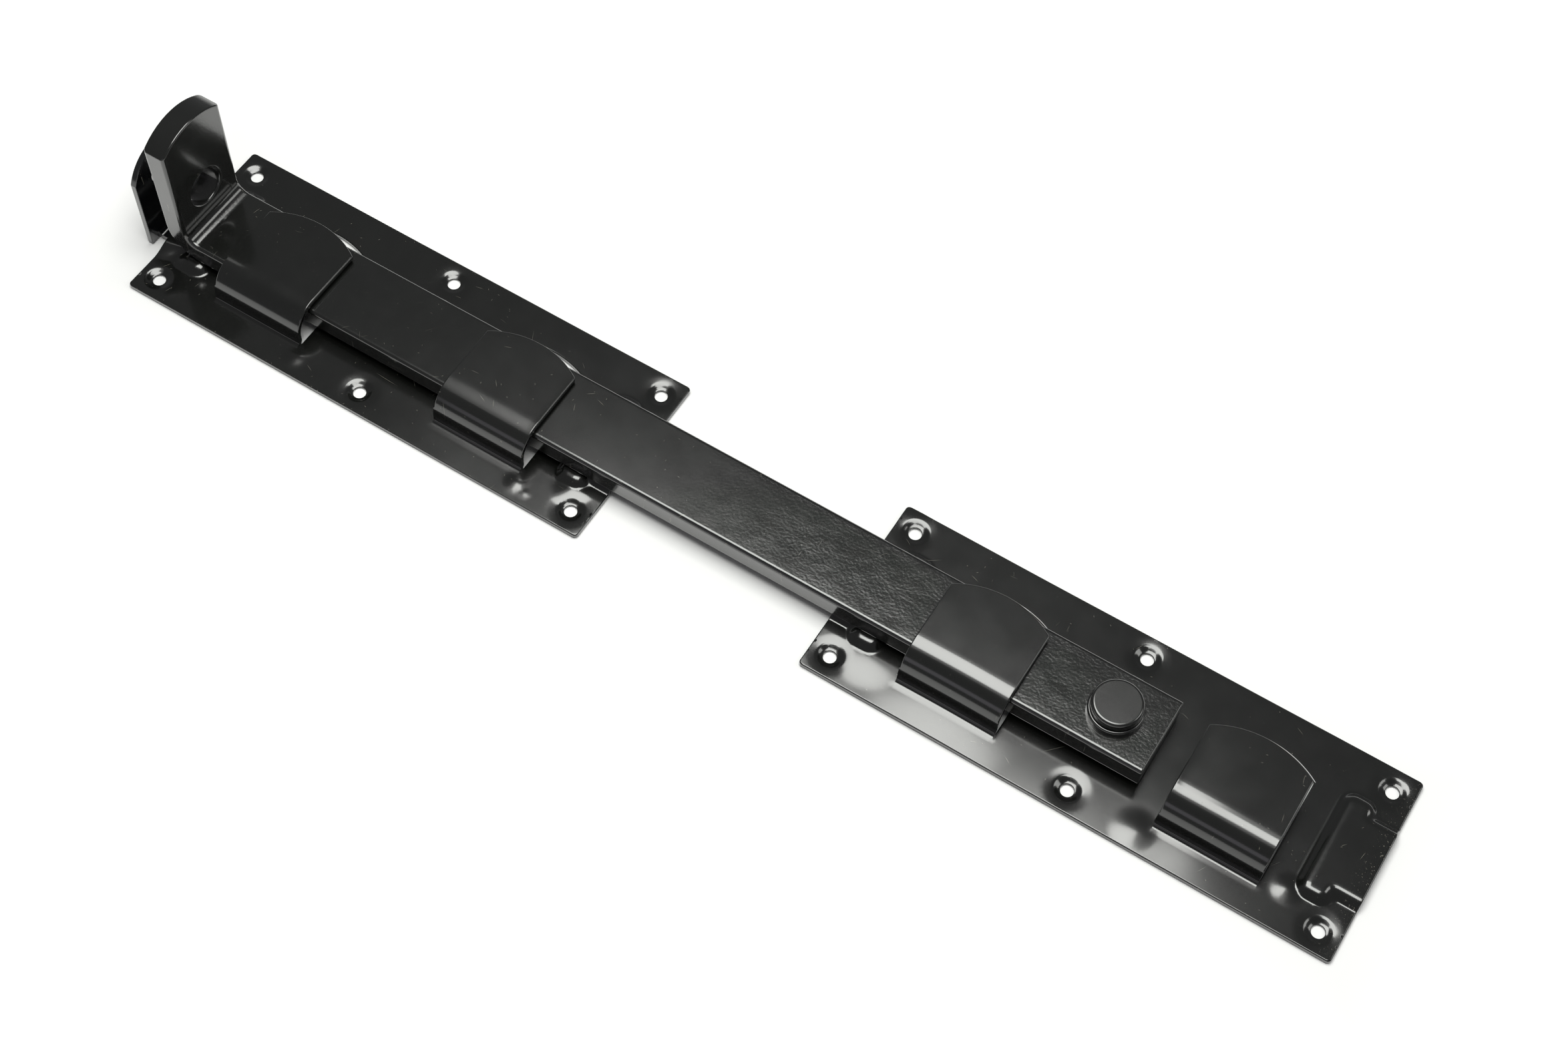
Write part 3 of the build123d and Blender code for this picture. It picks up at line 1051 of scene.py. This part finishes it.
@dataclass
class Studio:
    """A white sheet under the padbolt, a dim room round it and soft boxes above. Lengths in metres.

    The sheet glows a little to the camera alone, more with distance from the padbolt, so that it stays white
    where the lamps don't reach and the shadow stays where it falls.

    Attributes:
        floor_half: Half the sheet's side.
        middle: The padbolt's middle, which the lamps are aimed at.
        footprint: Half the padbolt's length and width.
        near_run: How far from the footprint the first glow comes in.
        near_glow: Its strength, where 1 is white.
        far_run: From where to where the second glow comes in.
        far_glow: Its strength.
        dimness: Strength of the room's light on the metal.
        boxes: The soft boxes.
    """

    floor_half: float = 3.0
    middle: tuple[float, float, float] = (0.145, 0.0, 0.0)
    footprint: tuple[float, float, float] = (0.255, 0.038, 0.0)
    near_run: float = 0.06
    near_glow: float = 0.2
    far_run: tuple[float, float] = (0.25, 1.0)
    far_glow: float = 0.95
    dimness: float = 0.2
    boxes: tuple[SoftBox, ...] = (
        SoftBox("overhead_cloth", (-0.02, -0.02, 1.22), (0.90, 1.06), 0.6),
        SoftBox("overhead_core", (-0.01, 0.075, 1.20), (0.64, 0.85), 6.6),
        SoftBox("right_core", (0.43, -0.05, 1.20), (0.24, 0.50), 6.6),
        SoftBox("right_box", (1.0, 0.5, 0.9), (0.4, 0.5), 3.0),
        SoftBox("near_box", (0.10, -1.25, 0.50), (1.2, 0.30), 0.5, "#f0ecf6"),
    )

    def build(self) -> None:
        """Makes the floor, the room and the lamps."""
        half = self.floor_half
        mesh = bpy.data.meshes.new("white_sheet")
        mesh.from_pydata([(-half, -half, 0), (half, -half, 0), (half, half, 0), (-half, half, 0)], [],
                         [(0, 1, 2, 3)])
        floor = bpy.data.objects.new("white_sheet", mesh)
        bpy.context.scene.collection.objects.link(floor)
        mesh.materials.append(self.paper())
        for box in self.boxes:
            box.hang(Vector(self.middle))
        self.room()

    def paper(self) -> bpy.types.Material:
        """Makes the floor's white card.

        Returns:
            A matt material that glows to the camera away from the padbolt.
        """
        material = bpy.data.materials.new("white_card")
        material.use_nodes = True
        tree = material.node_tree
        tree.nodes.clear()
        seen = add_node(tree, "ShaderNodeLightPath").outputs["Is Camera Ray"]
        place = add_node(tree, "ShaderNodeTexCoord").outputs["Object"]
        from_middle = add_node(tree, "ShaderNodeVectorMath", {0: place, 1: self.middle},
                               operation="SUBTRACT")
        size = add_node(tree, "ShaderNodeVectorMath", {0: from_middle.outputs[0]}, operation="ABSOLUTE")
        beyond = add_node(tree, "ShaderNodeVectorMath", {0: size.outputs[0], 1: self.footprint},
                          operation="SUBTRACT")
        axes = add_node(tree, "ShaderNodeSeparateXYZ", {0: beyond.outputs[0]})
        away = add_node(tree, "ShaderNodeMath", {0: axes.outputs[0], 1: axes.outputs[1]},
                        operation="MAXIMUM")
        near = add_node(tree, "ShaderNodeMapRange", {
            "Value": away.outputs[0], "From Max": self.near_run, "To Max": self.near_glow},
            interpolation_type="SMOOTHSTEP")
        far_from, far_to = self.far_run
        far = add_node(tree, "ShaderNodeMapRange", {
            "Value": away.outputs[0], "From Min": far_from, "From Max": far_to, "To Max": self.far_glow})
        clear = add_node(tree, "ShaderNodeMath", {0: near.outputs[0], 1: far.outputs[0]})
        matt = add_node(tree, "ShaderNodeBsdfDiffuse", {"Color": linear("#f8f8f8")})
        glow = add_node(tree, "ShaderNodeEmission", {"Color": (1, 1, 1, 1), "Strength": clear.outputs[0]})
        lit = add_node(tree, "ShaderNodeAddShader", {0: matt.outputs[0], 1: glow.outputs[0]})
        mix = add_node(tree, "ShaderNodeMixShader", {0: seen, 1: matt.outputs[0], 2: lit.outputs[0]})
        add_node(tree, "ShaderNodeOutputMaterial", {"Surface": mix.outputs[0]})
        return material

    def room(self) -> None:
        """Makes the world: white to the camera, and dim to the metal, which mirrors the boxes instead."""
        world = bpy.data.worlds.new("dim_room")
        world.use_nodes = True
        bpy.context.scene.world = world
        tree = world.node_tree
        tree.nodes.clear()
        seen = add_node(tree, "ShaderNodeLightPath").outputs["Is Camera Ray"]
        dim = add_node(tree, "ShaderNodeBackground", {
            "Color": linear("#d2d2d4"), "Strength": self.dimness})
        white = add_node(tree, "ShaderNodeBackground", {"Color": (1, 1, 1, 1), "Strength": 1.0})
        mix = add_node(tree, "ShaderNodeMixShader", {0: seen, 1: dim.outputs[0], 2: white.outputs[0]})
        add_node(tree, "ShaderNodeOutputWorld", {"Surface": mix.outputs[0]})


@dataclass
class Padbolt:
    """The whole padbolt: two pressed plates, the bar with its knob, and the loose lug.

    Attributes:
        plates: The left plate and the right one.
    """

    plates: tuple[PressedPlate, ...] = (
        PressedPlate("left_plate", end_toe=(10.0, 4.4), dents=(
            Dent(-29, -31, 0.35, 5), Dent(71, -31, 0.35, 5), Dent(76, -33, 0.25, 1.8),
            Dent(90, -23, 0.5, 8))),
        PressedPlate("right_plate", dents=(
            Dent(-96, 33, 0.4, 7), Dent(26, -31, 0.45, 9), Dent(79, -22, 0.5, 6.5), Dent(-82, -22, 0.5, 14),
            Dent(-50, -20, 0.7, 32), Dent(44, -20, 0.35, 30))),
    )

    def build(self) -> None:
        """Builds or dresses every piece and reports it."""
        far_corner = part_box("right_plate")[1]
        sheet_finish = StoveEnamel("stove_enamel_on_sheet", chipped_y_mm=far_corner.y / MM,
                                   chipped_end_mm=far_corner.x / MM).build()
        bar_finish = StoveEnamel("stove_enamel_on_bar", colour="#101110", cloud="#161715", roughness=0.175,
                                 coarse_from_mm=90, scratches=0.8).build()
        knob_finish = StoveEnamel("stove_enamel_on_knob", roughness=0.24, peel_mm=2.0, peel_height_mm=0.012,
                                  scratches=0.3).build()
        lug_finish = StoveEnamel("stove_enamel_on_lug", colour="#0d0e10", cloud="#131416",
                                 roughness=0.18).build()
        for plate in self.plates:
            piece = plate.build(sheet_finish)
            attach(piece, "plates")
            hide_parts(plate.node)
            LOG.info("%s pressed, %d faces", piece.name, len(piece.data.polygons))
        for node, finish in (("bolt_bar", bar_finish), ("knob", knob_finish), ("padlock_lug", lug_finish)):
            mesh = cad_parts[node].data
            mesh.materials.clear()
            mesh.materials.append(finish)
            LOG.info("%s dressed", node)


def main() -> None:
    """Builds the padbolt, its studio and its camera."""
    logging.basicConfig(level=logging.INFO, format="%(name)s: %(message)s")
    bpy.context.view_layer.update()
    Padbolt().build()
    Studio().build()
    PhotoCamera().place()
    bpy.context.scene.view_settings.view_transform = "Standard"


if __name__ == "__main__":
    main()
